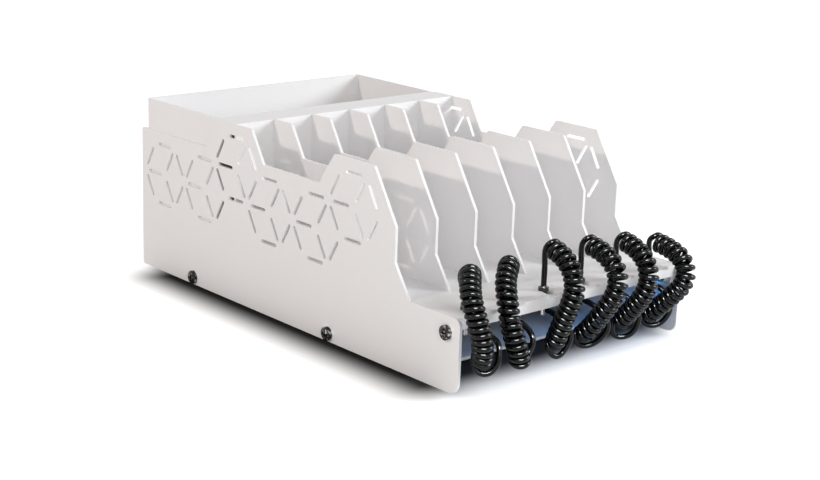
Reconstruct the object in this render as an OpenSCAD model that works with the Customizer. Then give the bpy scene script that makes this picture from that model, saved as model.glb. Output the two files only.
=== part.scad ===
// Charging station organizer: six upright bays between stepped sheet plates, an open box at the
// rear, and a hub below the shelf that feeds six curly charging cords at the front.
// X is the width, -Y the front, Z up. The feet stand on z = 0.

/* [Plates] */
// Length of the side panels, front to back
plate_len = 342.5; // [330:0.5:380]
// Thickness of the plates, shelf, pan, duct and box
sheet = 2; // [1.5:0.1:2.2]
// Distance between neighbouring plates
bay_pitch = 33.3; // [32:0.1:40]
// Height of the low edges of the plates
low_edge_h = 103; // [98:0.5:112]
// Height of the humps, and of the box and duct behind them
hump_h = 124.5; // [118:0.5:140]
// Height of the panels' front part
front_edge_h = 47.5; // [47.3:0.1:60]
// Height at the top of the step behind the front part
step_top_h = 90.5; // [80:0.5:98]
// Height at the foot of that step
step_low_h = 68; // [62:0.5:76]
// Length of the rear low edge
rear_low_len = 81; // [70:0.5:84]
// Run of the slope up to the rear hump
rear_rise_run = 12; // [8:0.5:16]
// Length of the rear hump
rear_hump_len = 41; // [36:0.5:50]
// Run of the slope down from the rear hump
rear_fall_run = 13.5; // [8:0.5:18]
// Length of the middle low edge
mid_low_len = 59.5; // [50:0.5:64]
// Run of the slope up to the front hump
front_rise_run = 15; // [8:0.5:20]
// Length of the front hump
front_hump_len = 39; // [30:0.5:42]
// Run of the long slope down from the front hump
front_fall_run = 21.5; // [15:0.5:24]
// Run of the slope between the step and the front part
step_run = 14; // [8:0.5:18]
// Radius of the panels' front lower corner
front_low_r = 7.5; // [4:0.5:12]
// Radius of the panels' front upper corner
front_top_r = 5; // [2:0.5:8]
// Radius of the other outline corners
corner_r = 1.5; // [0.5:0.1:3]

/* [Slot pattern] */
// Edge of one cube in the pattern
cube_edge = 25; // [22:0.1:25.5]
// Length of a slot
slot_len = 16.5; // [12:0.1:18]
// Width of a slot
slot_w = 2.5; // [1.5:0.1:3.5]
// From the rear edge to the first cube's centre
pattern_inset = 29.5; // [28:0.5:34]
// Height of the lower cube centres
pattern_h = 72.5; // [66:0.5:76]

/* [Shelf and front rail] */
// Height of the shelf's top
shelf_h = 47.3; // [45:0.1:47.3]
// How far the shelf, the rail and the pan's rear wall stand back from the panels' ends
edge_inset = 3; // [2:0.1:6]
// From the shelf's front edge back to the connectors' axis
dock_inset = 11.25; // [10:0.05:14]
// Width of a cable notch at its rear end
notch_w = 5.2; // [4.9:0.1:6]
// Width of a cable notch at the front
notch_mouth_w = 8.5; // [7:0.1:12]
// Radius of the tongues' front corners
tongue_r = 3.5; // [2:0.1:5]
// Depth of the shelf's side flanges below its top
shelf_flange_h = 16.3; // [16:0.1:24]
// Thickness of the rail's sheet
rail_sheet = 1.5; // [1:0.1:1.8]
// How far the rail's lip lies behind the shelf's edge
lip_setback = 0.7; // [0.3:0.1:2]
// Height of the rail's lip below the shelf
lip_h = 5.9; // [5:0.1:8]
// Depth of the rail's top flange
rail_depth = 27.6; // [24:0.1:29]
// Bore of the dock holes in the rail
dock_bore = 5.4; // [5:0.1:6]

/* [Duct and storage box] */
// From the panels' rear end to the duct's front plate
duct_inset = 114.25; // [110:0.25:118]
// Depth of the duct's top band
duct_band = 21; // [18:0.5:26]
// Height of the duct's rear leg
duct_leg_h = 15; // [10:0.5:25]
// Radius of the box's upright corners
box_corner_r = 3; // [2:0.5:6]
// Width of the slits that take the dividers' tabs
slit_clearance = 0.3; // [0.2:0.05:0.6]

/* [Base] */
// Height of the rubber feet
foot_h = 3; // [2:0.1:6]
// Diameter of the feet
foot_d = 16; // [10:0.5:24]
// From the panels' front end to the pan's front edge
pan_front_inset = 44.25; // [42:0.25:52]
// Height of the pan's side flanges
pan_flange_h = 12; // [10.5:0.1:20]
// Height of the pan's rear wall
pan_rear_h = 45; // [40:0.5:45]

/* [Screws] */
// Diameter of the panel screws' shanks
screw_d = 5; // [4:0.1:5]
// Diameter of the screw heads
screw_head_d = 9.4; // [8:0.1:10]
// Height of the screw heads
screw_head_h = 2.8; // [2:0.1:3.5]
// Length of the panel screws below the head
screw_len = 9; // [7:0.5:12]
// Height of the lower screws
low_screw_h = 5.3; // [5.3:0.1:6]
// Height of the front screws
front_screw_h = 37.1; // [36.5:0.1:39]
// From the panels' front end to the front screws
front_screw_inset = 11.5; // [10:0.5:20]
// From the rear end to the middle screws
mid_screw_inset = 219; // [200:0.5:240]
// From the rear end to the rear screws
rear_screw_inset = 65.5; // [50:0.5:80]

/* [Hub] */
// From the last ports' shells to the ends of the hub's board
board_side = 0.35; // [0.2:0.05:1]
// Depth of the hub's case
hub_depth = 60; // [50:0.5:70]
// Height of the hub's case
hub_h = 18; // [17:0.1:22]
// Wall of the hub's case
hub_wall = 1.8; // [1.2:0.1:2.4]
// From the panels' front end to the hub's front
hub_inset = 43.25; // [41:0.25:50]
// Depth of the ports' centre below the shelf's top
port_drop = 12; // [11.5:0.1:12]
// Width of a port's shell
port_w = 13.2; // [12.8:0.1:14]
// Height of a port's shell
port_h = 5.6; // [5.2:0.1:6]
// Depth of a port's shell
port_depth = 13; // [12:0.5:16]
// Thickness of the hub's board
board_t = 1.6; // [1:0.1:2]

/* [Cords] */
// Diameter of the charging cords
cord_d = 3.3; // [2.8:0.1:3.3]
// Outer diameter of a coil
coil_d = 13.2; // [11:0.1:13.2]
// Curls in each coil
curls = 12; // [9:1:12]

/* [Power] */
// Width of the power supply
supply_w = 120; // [90:1:140]
// Depth of the power supply
supply_depth = 70; // [60:1:75]
// Height of the power supply
supply_h = 35; // [25:0.5:38]
// Width of the inlet's flange
inlet_w = 30.7; // [30:0.1:34]
// Height of the inlet's flange
inlet_h = 23.4; // [23:0.1:26]
// Width of the switch's bezel
switch_w = 15; // [14:0.1:18]
// Height of the switch's bezel
switch_h = 21; // [20:0.1:24]
// Half the angle between the rocker's two faces' flush positions
rocker_tilt = 12; // [8:0.5:14]

/* [Hidden] */
cut = 0.5;
arc_steps = 6;
fine = 48;

// Charging cord routes. Each point is measured from its connector's axis at the shelf's top.
lead_routes = [
    [[0, 0, 3], [0, 0, 8], [-0.8, 1.6, 13], [-3.2, 2.8, 18.5], [-5.4, 1.2, 24]],
    [[0, 0, 3], [0, 0, 8], [-0.6, 1.6, 13], [-2.8, 3, 18], [-4.9, 2, 23.5]],
    [[0, 0, 3], [0, 0, 11], [0, 0, 18], [-1.2, -0.4, 24], [-3.2, -2.4, 29]],
    [[0, 0, 3], [0, 0, 10], [0, 0, 16], [-1.2, -0.4, 21.5], [-3.2, -2.4, 26.5]],
    [[0, 0, 3], [0, 0, 9], [0, 0, 14], [-1.2, -0.4, 19], [-3.2, -2.4, 23.5]],
    [[0, 0, 3], [0, 0, 7], [-0.5, 0, 11], [-1.8, -0.4, 15], [-3.4, -2, 18.6]]
];
coil_routes = [
    [[-1.5, -4, 24], [-5, -8, 22], [-9, -12.5, 18], [-12, -17, 12.5], [-12.6, -21, 5.5],
     [-11.6, -23.5, -2], [-9.8, -24.8, -10], [-7.9, -24.3, -17.8], [-6.3, -22, -24.5],
     [-5.6, -20.4, -27.6]],
    [[-1.5, -3, 23.5], [-5.5, -6.5, 21.8], [-11, -10.5, 17], [-15.5, -16, 10.5],
     [-17.5, -20, 3.5], [-17.5, -22.5, -4.5], [-16.3, -24.3, -12.5], [-14, -25.3, -20],
     [-11, -25, -27.5], [-9, -24.2, -32]],
    [[0, -5, 28.6], [0, -11, 27], [0, -17.8, 23.3], [0, -22.9, 17.9], [0, -25.7, 10.8],
     [0, -25.6, 3], [0, -22.8, -4.8], [0, -19.6, -12.3], [0, -16.5, -20], [0, -13.5, -27.5],
     [0, -11.3, -32.5]],
    [[0, -5, 26], [0, -11.5, 24.8], [0, -19.5, 22.5], [0, -26.6, 17.9], [0, -31, 11.2],
     [0, -31.5, 3.4], [0, -28.2, -4.6], [0, -23.2, -12.2], [0, -18, -19.5], [0, -12.5, -26.5],
     [0, -7.2, -32.5], [0, -3.5, -35.8]],
    [[0, -5, 22.8], [0, -11, 21.7], [0, -18, 19], [0, -23.8, 14.6], [0, -27.6, 8.3],
     [0, -28.6, 0.8], [0, -26.5, -6.3], [0, -22.2, -13.3], [0, -16.5, -20.5], [0, -10.3, -27.8],
     [0, -5.5, -33.2]],
    [[0, -4.5, 16.8], [0, -11, 16], [0, -18.2, 14.4], [0, -24.8, 11.8], [0, -29.5, 7.5],
     [0, -31.6, 1.5], [0, -30.5, -4.9], [0, -26.8, -10.6], [0, -21.4, -16.4], [0, -15.6, -22.4],
     [0, -9.8, -28], [0, -4.2, -33.2], [0, -1, -36]]
];
tail_routes = [
    [[-9.2, -21.6, -32.2], [-5.6, -24.9, -33.4], [-1.3, -26.9, -31], [2, -27.5, -26.3],
     [3.5, -26.6, -20.8], [4.8, -24.5, -17], [5.5, -20, -14.3], [5.8, -14.5, -13.2],
     [5.5, -8.5, -13], [5, -2.5, -12.8], [3, 4, -12.3], [0, 10, -12], [0, 15, -12]],
    [[-1.8, -22.6, -29.4], [0.5, -22.5, -27], [2.2, -22.7, -23.8], [3.2, -21.9, -20],
     [3.8, -19, -16.8], [4.3, -14.5, -14.6], [4.8, -9.3, -13.3], [4.6, -3.5, -12.8],
     [3, 3, -12.4], [0, 9.5, -12], [0, 15, -12]],
    [[-3.8, -11.5, -37.3], [-0.5, -13, -40.3], [3.2, -13.4, -40.4], [6.4, -13.6, -38.6],
     [8.6, -14.8, -35], [9.6, -16.4, -30.2], [9.6, -16.2, -25.6], [9, -14, -21.4],
     [7.8, -9.8, -18], [6, -5, -15.5], [4, 1.5, -13.5], [0, 9, -12], [0, 15, -12]],
    [[-4, -3.4, -40.4], [-0.5, -6, -42], [3.8, -8.4, -41.6], [7.3, -11.2, -39],
     [9.5, -14.5, -34.6], [10.6, -16.8, -29.4], [10.6, -16.2, -24.6], [9.8, -13.6, -20.4],
     [8, -9.3, -17], [6, -4, -14.5], [4, 2.5, -13], [0, 9.5, -12], [0, 15, -12]],
    [[-4.6, -3.8, -38.4], [-2, -5.4, -42], [2, -9, -42.3], [5.8, -12.2, -39.8],
     [8.3, -14.4, -35], [9.5, -14.9, -29], [9.5, -13.6, -24.2], [8.9, -11, -20.4],
     [7.6, -6.8, -17.3], [5.8, -2, -14.8], [3.5, 4, -12.9], [0, 9.5, -12], [0, 15, -12]],
    [[-3.8, -2, -39.6], [-0.2, -5.2, -41.6], [3.8, -7.9, -41], [7.3, -10.1, -38],
     [9.4, -12.4, -32.8], [10, -13, -27.6], [9.4, -11.8, -23], [8.4, -8.6, -19], [7, -4, -16],
     [5, 1.5, -13.8], [2.5, 6, -12.4], [0, 10, -12], [0, 15, -12]]
];
// Where each coil's first and last curls begin and end, as angles from the inner side of its bend
coil_start = 225;
coil_ends = [-90, 90, -90, -90, -90, -90];

// Leads inside the housing, measured from the frame's origin
dc_route = [[30, -20, 22], [30, -27, 22], [30, -38, 26], [30, -50, 34], [30, -61, 38],
    [30, -68, 38]];
mains_routes = [
    [[-61, 146, 26], [-61, 139, 26], [-58, 120, 15], [-45, 90, 12], [-34, 64, 18], [-34, 57, 20],
     [-34, 50, 20]],
    [[-49, 146, 26], [-49, 139, 26], [-44, 134, 27], [-28, 134, 27], [-23, 139, 26],
     [-23, 146, 26]],
    [[-17, 146, 26], [-17, 139, 26], [-18, 120, 16], [-20, 90, 12], [-22, 64, 18], [-22, 57, 20],
     [-22, 50, 20]]
];

bay_count = len(lead_routes);
divider_count = bay_count - 1;
outer_plate_x = bay_pitch * bay_count / 2;
inner_x = outer_plate_x - sheet / 2;
rear_y = plate_len / 2;
front_y = -rear_y;
shelf_top = foot_h + shelf_h;
shelf_under = shelf_top - sheet;
top_z = foot_h + hump_h;
shelf_front_y = front_y + edge_inset;
dock_y = shelf_front_y + dock_inset;
duct_y = rear_y - duct_inset;
duct_rear_y = duct_y + duct_band;
box_rear_y = rear_y - edge_inset;
pan_front_y = front_y + pan_front_inset;
pan_top = foot_h + sheet;
hub_front_y = front_y + hub_inset;
hub_rear_y = hub_front_y + hub_depth;
hub_low_z = shelf_under - hub_h;
port_z = shelf_top - port_drop;
lip_front_y = shelf_front_y + lip_setback;
rail_under = shelf_under - rail_sheet;

// Tabs that key the dividers to the shelf and the duct
tab_len = 14;
tab_from_duct = 40;
tab_from_foot = 15;
tab_shares = [0, 0.5, 1];
duct_bend_left = 3;

// Threaded collars drawn in the flanges
collar_d = 6.4;
collar_h = 3;
thread_clearance = 0.1;
hole_clearance = 0.3;
recess_w = 1.2;
recess_len = 5.2;
recess_depth = 1.6;
head_crown = 1;

// Connector at the dock
flange_d = 6.7;
flange_h = 2;
relief_d = 4.4;
relief_h = 1;
connector_d = 4.8;
connector_len = 10;
tip_d = 3.5;
tip_len = 6;
tip_bore = 1.5;
tip_edge = 0.4;

// Plug in the hub
plug_w = 16;
plug_h = 8;
plug_len = 10.7;
plug_gap = 0.3;
plug_edge_r = 2;
plug_relief_d = 4.6;
plug_relief_len = 3;
shell_w = 12;
shell_h = 4.5;
shell_len = 11.4;
shell_t = 0.3;
port_t = 0.35;
port_gap = 0.1;
insert_w = 10.5;
insert_t = 1.7;
insert_len = 9;
insert_lift = 0.15;

// Hub details
hub_edge_r = 3;
ear_w = 10;
ear_len = 10;
ear_t = 3;
ear_x = 2 * bay_pitch;
stud_d = 3;
stud_len = 6.5;
ear_hole_d = 3.4;
nut_flats = 5.5;
nut_h = 2.4;
post_d = 5;
board_edge = 3;
board_half_w = bay_x(bay_count) + port_w / 2 + board_side;
hub_w = 2 * (board_half_w + board_edge + hub_wall);
post_from_end = 12;
post_x = hub_w / 2 - post_from_end;
board_front = 2;
chip_count = 3;
chip_w = 9;
chip_h = 1.4;
can_d = 8;
can_h = 7;
light_d = 3;
light_h = 2;
light_side = 8;
light_back = 5;

// Power pieces
foot_side = 14;
foot_end = 18;
foot_taper = 1;
supply_front_y = -20;
supply_edge_r = 3;
supply_rib_w = 1.2;
supply_rib_pitch = 4;
supply_ribs = 12;
dc_d = 4.4;
wire_d = 2.4;
panel_mid_z = 26;
inlet_x = -55;
inlet_flange_t = 2.5;
inlet_body_w = 27;
inlet_body_h = 19.5;
inlet_recess_w = 24;
inlet_recess_h = 16.5;
inlet_recess_depth = 17;
inlet_body_len = 22.25;
inlet_front_y = box_rear_y - inlet_body_len;
inlet_edge_r = 3;
cutout_gap = 0.3;
pin_w = 2;
pin_h = 4;
pin_len = 11.5;
pin_spread = 7;
pin_lift = 2;
pin_drop = 2;
switch_x = -20;
bezel_t = 2;
switch_body_w = 12.8;
switch_body_h = 19;
rocker_w = 9.8;
rocker_r = 7.9;
rocker_back = 2;
rocker_dip = 3.5;
rocker_gap = 0.4;
pivot_depth = 1.8;
rocker_floor = 4.2;
pivot_d = 2.4;
pivot_len = 1;
pivot_clearance = 0.07;

charcoal = [0.07, 0.07, 0.08];
powder_white = [0.90, 0.89, 0.88];

// Plain geometry helpers

function unit(v) = v / norm(v);
function bay_x(i) = (i - (bay_count + 1) / 2) * bay_pitch;
function divider_x(i) = (i - bay_count / 2) * bay_pitch;

// Points of an arc of radius r that rounds the corner b between a and c
function corner_arc(a, b, c, r) =
    r == 0 ? [b] :
    let (
        u = unit(a - b),
        v = unit(c - b),
        half = acos(u * v) / 2,
        centre = b + unit(u + v) * r / sin(half),
        from = b + u * r / tan(half) - centre,
        to = b + v * r / tan(half) - centre,
        turn = from.x * to.y - from.y * to.x > 0 ? 1 : -1,
        sweep = acos(unit(from) * unit(to))
    )
    [for (k = [0 : arc_steps])
        let (t = turn * sweep * k / arc_steps)
        centre + [from.x * cos(t) - from.y * sin(t), from.x * sin(t) + from.y * cos(t)]];

function rounded(points, radii) =
    let (n = len(points))
    [for (i = [0 : n - 1])
        each corner_arc(points[(i + n - 1) % n], points[i], points[(i + 1) % n], radii[i])];

function box_points(w, h) = [[-w / 2, -h / 2], [w / 2, -h / 2], [w / 2, h / 2], [-w / 2, h / 2]];

module round_plate(w, h, t, r) {
    linear_extrude(t) polygon(rounded(box_points(w, h), [r, r, r, r]));
}

// Lays a drawing in y and z, and gives it a thickness along x
module in_side_view(t) {
    translate([-t / 2, 0, 0]) rotate([90, 0, 90]) linear_extrude(t) children();
}

// Lays a drawing in x and z, and gives it a depth towards the rear from y = 0
module in_front_view(depth) {
    translate([0, depth, 0]) rotate([90, 0, 0]) linear_extrude(depth) children();
}

// Side outline, from the rear end forward

function side(run, h) = [rear_y - run, foot_h + h];
hump1_from = rear_low_len + rear_rise_run;
hump1_to = hump1_from + rear_hump_len;
mid_from = hump1_to + rear_fall_run;
mid_to = mid_from + mid_low_len;
hump2_from = mid_to + front_rise_run;
hump2_to = hump2_from + front_hump_len;
step_at = hump2_to + front_fall_run;
front_from = step_at + step_run;

forward_edge = [
    side(hump1_to, hump_h), side(mid_from, low_edge_h), side(mid_to, low_edge_h),
    side(hump2_from, hump_h), side(hump2_to, hump_h), side(step_at, step_top_h),
    side(step_at, step_low_h)
];

module panel_outline() {
    points = concat(
        [side(0, 0), side(0, low_edge_h), side(rear_low_len, low_edge_h), side(hump1_from, hump_h)],
        forward_edge,
        [side(front_from, front_edge_h), side(plate_len, front_edge_h), side(plate_len, 0)]
    );
    last = len(points) - 1;
    polygon(rounded(points, [for (i = [0 : last])
        i == last ? front_low_r : i == last - 1 ? front_top_r : corner_r]));
}

// Slots on the outer edges and the three inner edges of each cube

cube_shares = [[0, 0], [2, 0], [3.5, 0.866], [5, 0], [7, 0], [8.5, 0.866]];
hexagon_edges = [0 : 5];
all_slots = [for (c = cube_shares) each concat(
    [for (k = hexagon_edges) [c + cos(30) * [cos(60 * k + 30), sin(60 * k + 30)], 60 * k + 120]],
    [for (k = [1, 3, 5]) [c + [cos(60 * k), sin(60 * k)] / 2, 60 * k]]
)];
function seen_before(i) =
    len([for (j = [0 : 1 : i - 1]) if (norm(all_slots[i][0] - all_slots[j][0]) < 1 / 8) j]) > 0;

module slot() {
    square([slot_len - slot_w, slot_w], center = true);
    for (s = [-1, 1]) translate([s * (slot_len - slot_w) / 2, 0]) circle(d = slot_w, $fn = 24);
}

module slot_pattern() {
    for (i = [0 : len(all_slots) - 1])
        if (!seen_before(i))
            translate([rear_y - pattern_inset - cube_edge * all_slots[i][0].x,
                       foot_h + pattern_h + cube_edge * all_slots[i][0].y])
                rotate(-all_slots[i][1]) slot();
}

// Panels and dividers

front_screw = [front_y + front_screw_inset, foot_h + front_screw_h];
low_screws = [for (run = [mid_screw_inset, rear_screw_inset]) [rear_y - run, foot_h + low_screw_h]];
all_screws = concat([front_screw], low_screws);

module side_panel(s) {
    color(powder_white) translate([s * outer_plate_x, 0, 0]) in_side_view(sheet) difference() {
        panel_outline();
        slot_pattern();
        for (p = all_screws) translate(p) circle(d = screw_d + hole_clearance, $fn = fine);
    }
}
module left_side_panel() { side_panel(-1); }
module right_side_panel() { side_panel(1); }

first_tab_y = rear_y - front_from + tab_from_foot;
tab_run = duct_y - tab_from_duct - tab_len - first_tab_y;
divider_tabs = [for (share = tab_shares) first_tab_y + tab_run * share];

module divider(i) {
    foot = [side(front_from, 0).x, shelf_top];
    points = concat([[duct_y, shelf_top], [duct_y, top_z]], forward_edge, [foot]);
    radii = [for (k = [0 : len(points) - 1]) k < 2 || k == len(points) - 1 ? 0 : corner_r];
    color(powder_white) translate([divider_x(i), 0, 0]) in_side_view(sheet) {
        polygon(rounded(points, radii));
        for (y = divider_tabs) translate([y, shelf_under]) square([tab_len, sheet + cut]);
        translate([duct_y - cut, top_z - sheet])
            square([duct_band - duct_bend_left + cut, sheet]);
    }
}

// Shelf, rail, duct and box

module notch_outline() {
    flare = notch_mouth_w / 2;
    side_arc = [for (k = [0 : arc_steps])
        [flare + tongue_r - tongue_r * sin(90 * k / arc_steps),
         shelf_front_y + tongue_r - tongue_r * cos(90 * k / arc_steps)]];
    rear_arc = [for (k = [0 : 2 * arc_steps])
        [notch_w / 2 * cos(90 * k / arc_steps), dock_y + notch_w / 2 * sin(90 * k / arc_steps)]];
    mirrored = [for (k = [arc_steps : -1 : 0]) [-side_arc[k].x, side_arc[k].y]];
    mouth = [[-flare - tongue_r, shelf_front_y - cut], [flare + tongue_r, shelf_front_y - cut]];
    polygon(concat(side_arc, rear_arc, mirrored, mouth));
}

ear_y = [hub_front_y - ear_len / 2, hub_rear_y + ear_len / 2];

module device_shelf() {
    flange_low = shelf_top - shelf_flange_h;
    color(powder_white) {
        difference() {
            translate([-inner_x, shelf_front_y, shelf_under])
                cube([2 * inner_x, duct_y - shelf_front_y, sheet]);
            for (i = [1 : bay_count])
                translate([bay_x(i), 0, shelf_under - cut])
                    linear_extrude(sheet + 2 * cut) notch_outline();
            for (i = [1 : divider_count], y = divider_tabs)
                translate([divider_x(i) - sheet / 2 - slit_clearance / 2, y - slit_clearance / 2,
                           shelf_under - cut])
                    cube([sheet + slit_clearance, tab_len + slit_clearance, sheet + 2 * cut]);
        }
        for (s = [-1, 1]) {
            difference() {
                union() {
                    translate([s * (inner_x - sheet / 2), 0, 0]) in_side_view(sheet)
                        translate([shelf_front_y + edge_inset, flange_low])
                            square([duct_y - shelf_front_y - edge_inset, shelf_flange_h]);
                    panel_collar(s, front_screw);
                }
                panel_collar_bore(s, front_screw);
            }
            for (y = ear_y) translate([s * ear_x, y, shelf_under - stud_len])
                cylinder(d = stud_d, h = stud_len, $fn = fine);
        }
    }
}

// A threaded collar behind a flange, and its bore
module panel_collar(s, p) {
    translate([s * (inner_x - sheet - collar_h / 2), p.x, p.y]) rotate([0, 90, 0])
        cylinder(d = collar_d, h = collar_h, center = true, $fn = fine);
}
module panel_collar_bore(s, p) {
    depth = sheet + collar_h + 2 * cut;
    translate([s * (inner_x + cut - depth / 2), p.x, p.y]) rotate([0, 90, 0])
        cylinder(d = screw_d + thread_clearance, h = depth, center = true, $fn = fine);
}

module front_rail() {
    half_w = inner_x - sheet;
    color(powder_white) difference() {
        union() {
            translate([-half_w, lip_front_y, rail_under]) cube([2 * half_w, rail_depth, rail_sheet]);
            translate([-half_w, lip_front_y, shelf_under - lip_h])
                cube([2 * half_w, rail_sheet, lip_h]);
        }
        for (i = [1 : bay_count]) translate([bay_x(i), dock_y, rail_under - cut])
            cylinder(d = dock_bore, h = rail_sheet + 2 * cut, $fn = fine);
    }
}

module cable_duct() {
    color(powder_white) difference() {
        union() {
            translate([-inner_x, duct_y, shelf_under])
                cube([2 * inner_x, sheet, top_z - shelf_under]);
            translate([-inner_x, duct_y, top_z - sheet]) cube([2 * inner_x, duct_band, sheet]);
            translate([-inner_x, duct_rear_y - sheet, top_z - duct_leg_h])
                cube([2 * inner_x, sheet, duct_leg_h]);
        }
        for (i = [1 : divider_count])
            translate([divider_x(i) - sheet / 2 - slit_clearance / 2, duct_y - cut,
                       top_z - sheet - slit_clearance])
                cube([sheet + slit_clearance, duct_band - duct_bend_left + cut + slit_clearance,
                      sheet + slit_clearance + cut]);
    }
}

module storage_box() {
    w = 2 * inner_x;
    depth = box_rear_y - duct_rear_y;
    low_z = foot_h + pan_rear_h;
    color(powder_white) translate([0, duct_rear_y + depth / 2, low_z]) difference() {
        round_plate(w, depth, top_z - low_z, box_corner_r);
        translate([0, 0, sheet])
            round_plate(w - 2 * sheet, depth - 2 * sheet, top_z - low_z, box_corner_r - sheet / 2);
    }
}

// Base

module base_pan() {
    color(powder_white) difference() {
        union() {
            translate([-inner_x, pan_front_y, foot_h])
                cube([2 * inner_x, box_rear_y - pan_front_y, sheet]);
            translate([-inner_x, box_rear_y - sheet, foot_h])
                cube([2 * inner_x, sheet, pan_rear_h]);
            for (s = [-1, 1]) {
                translate([s * (inner_x - sheet / 2), 0, 0]) in_side_view(sheet)
                    translate([pan_front_y, foot_h])
                        square([box_rear_y - pan_front_y, pan_flange_h]);
                for (p = low_screws) panel_collar(s, p);
            }
        }
        for (s = [-1, 1], p = low_screws) panel_collar_bore(s, p);
        translate([inlet_x, box_rear_y - sheet - cut, panel_mid_z])
            in_front_view(sheet + 2 * cut)
                square([inlet_body_w + cutout_gap, inlet_body_h + cutout_gap], center = true);
        translate([switch_x, box_rear_y - sheet - cut, panel_mid_z])
            in_front_view(sheet + 2 * cut)
                square([switch_body_w + cutout_gap, switch_body_h + cutout_gap], center = true);
    }
}

module feet() {
    x = inner_x - foot_side;
    color(charcoal) for (sx = [-1, 1], y = [pan_front_y + foot_end, box_rear_y - foot_end])
        translate([sx * x, y, 0]) rotate_extrude($fn = fine)
            polygon([[0, 0], [foot_d / 2 - foot_taper, 0], [foot_d / 2, foot_taper],
                     [foot_d / 2, foot_h], [0, foot_h]]);
}

// One pan-head screw along +x, with its head's underside at x = 0
module panel_screw() {
    r = screw_head_d / 2;
    crown_r = (r * r + head_crown * head_crown) / (2 * head_crown);
    rim_h = screw_head_h - head_crown;
    crown = [for (k = [0 : arc_steps])
        let (a = asin(r / crown_r) * (1 - k / arc_steps))
        [crown_r * sin(a), -screw_head_h + crown_r * (1 - cos(a))]];
    rotate([0, 90, 0]) difference() {
        union() {
            rotate_extrude($fn = fine)
                polygon(concat([[0, 0], [r, 0], [r, -rim_h]], crown));
            cylinder(d = screw_d, h = screw_len, $fn = fine);
        }
        for (a = [0, 90]) rotate(a)
            translate([-recess_len / 2, -recess_w / 2, -screw_head_h - cut])
                cube([recess_len, recess_w, recess_depth + cut]);
    }
}

module panel_screws() {
    color("silver") for (p = all_screws) {
        translate([-inner_x - sheet, p.x, p.y]) panel_screw();
        translate([inner_x + sheet, p.x, p.y]) mirror([1, 0, 0]) panel_screw();
    }
}

// Hub

module hub_ear(y, s) {
    translate([s * ear_x, y, shelf_under - ear_t]) difference() {
        translate([-ear_w / 2, -ear_len / 2, 0]) cube([ear_w, ear_len, ear_t]);
        translate([0, 0, -cut]) cylinder(d = ear_hole_d, h = ear_t + 2 * cut, $fn = fine);
    }
}

module hub_case() {
    mid_y = hub_front_y + hub_depth / 2;
    color(charcoal) {
        difference() {
            translate([0, mid_y, hub_low_z]) round_plate(hub_w, hub_depth, hub_h, hub_edge_r);
            translate([0, mid_y, hub_low_z + hub_wall])
                round_plate(hub_w - 2 * hub_wall, hub_depth - 2 * hub_wall, hub_h - 2 * hub_wall,
                            hub_edge_r - hub_wall / 2);
            for (i = [1 : bay_count])
                translate([bay_x(i), hub_front_y - cut, port_z]) in_front_view(hub_wall + 2 * cut)
                    square([port_w + 2 * port_gap, port_h + 2 * port_gap], center = true);
        }
        for (s = [-1, 1], y = ear_y) hub_ear(y, s);
        for (s = [-1, 1], y = [hub_front_y + ear_len, hub_rear_y - ear_len])
            translate([s * post_x, y, hub_low_z + hub_wall])
                cylinder(d = post_d, h = port_z - port_h / 2 - board_t - hub_low_z - hub_wall,
                         $fn = fine);
    }
}

module hub_board() {
    low_z = port_z - port_h / 2 - board_t;
    depth = hub_depth - 2 * hub_wall - 2 * board_front;
    color([0.05, 0.30, 0.15]) {
        translate([-board_half_w, hub_front_y + hub_wall + board_front, low_z])
            cube([2 * board_half_w, depth, board_t]);
        for (k = [0 : chip_count - 1])
            translate([(k - (chip_count - 1) / 2) * 2 * bay_pitch - chip_w / 2,
                       hub_front_y + hub_depth / 2, low_z + board_t])
                cube([chip_w, chip_w, chip_h]);
        for (i = [1 : bay_count])
            translate([bay_x(i), hub_rear_y - hub_wall - 2 * board_front - can_d, low_z + board_t])
                cylinder(d = can_d, h = can_h, $fn = 24);
    }
}

module port_shell(w, h, depth, t) {
    difference() {
        in_front_view(depth) square([w, h], center = true);
        translate([0, -cut, 0]) in_front_view(depth + cut - t)
            square([w - 2 * t, h - 2 * t], center = true);
    }
}

module hub_ports() {
    color("silver") for (i = [1 : bay_count])
        translate([bay_x(i), hub_front_y, port_z]) port_shell(port_w, port_h, port_depth, port_t);
}

module port_inserts() {
    color("royalblue") for (i = [1 : bay_count])
        translate([bay_x(i), hub_front_y + port_depth - port_t - insert_len,
                   port_z + insert_lift + insert_t / 2])
            in_front_view(insert_len) square([insert_w, insert_t], center = true);
}

module hub_nuts() {
    low_z = shelf_under - ear_t - nut_h;
    color("silver") for (s = [-1, 1], y = ear_y) translate([s * ear_x, y, low_z]) difference() {
        cylinder(d = nut_flats / cos(30), h = nut_h, $fn = 6);
        translate([0, 0, -cut])
            cylinder(d = stud_d + thread_clearance, h = nut_h + 2 * cut, $fn = fine);
    }
}

module status_lights() {
    color("deepskyblue") for (i = [1 : bay_count])
        translate([bay_x(i) + light_side, dock_y + light_back, rail_under - light_h])
            cylinder(d = light_d, h = light_h, $fn = 24);
}

// Connectors and plugs

module charge_connector(i) {
    color(charcoal) translate([bay_x(i), dock_y, shelf_top]) rotate_extrude($fn = fine)
        polygon([[0, -connector_len], [connector_d / 2, -connector_len], [connector_d / 2, 0],
                 [flange_d / 2, 0], [flange_d / 2, flange_h], [relief_d / 2, flange_h],
                 [cord_d / 2, flange_h + relief_h], [0, flange_h + relief_h]]);
}

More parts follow.
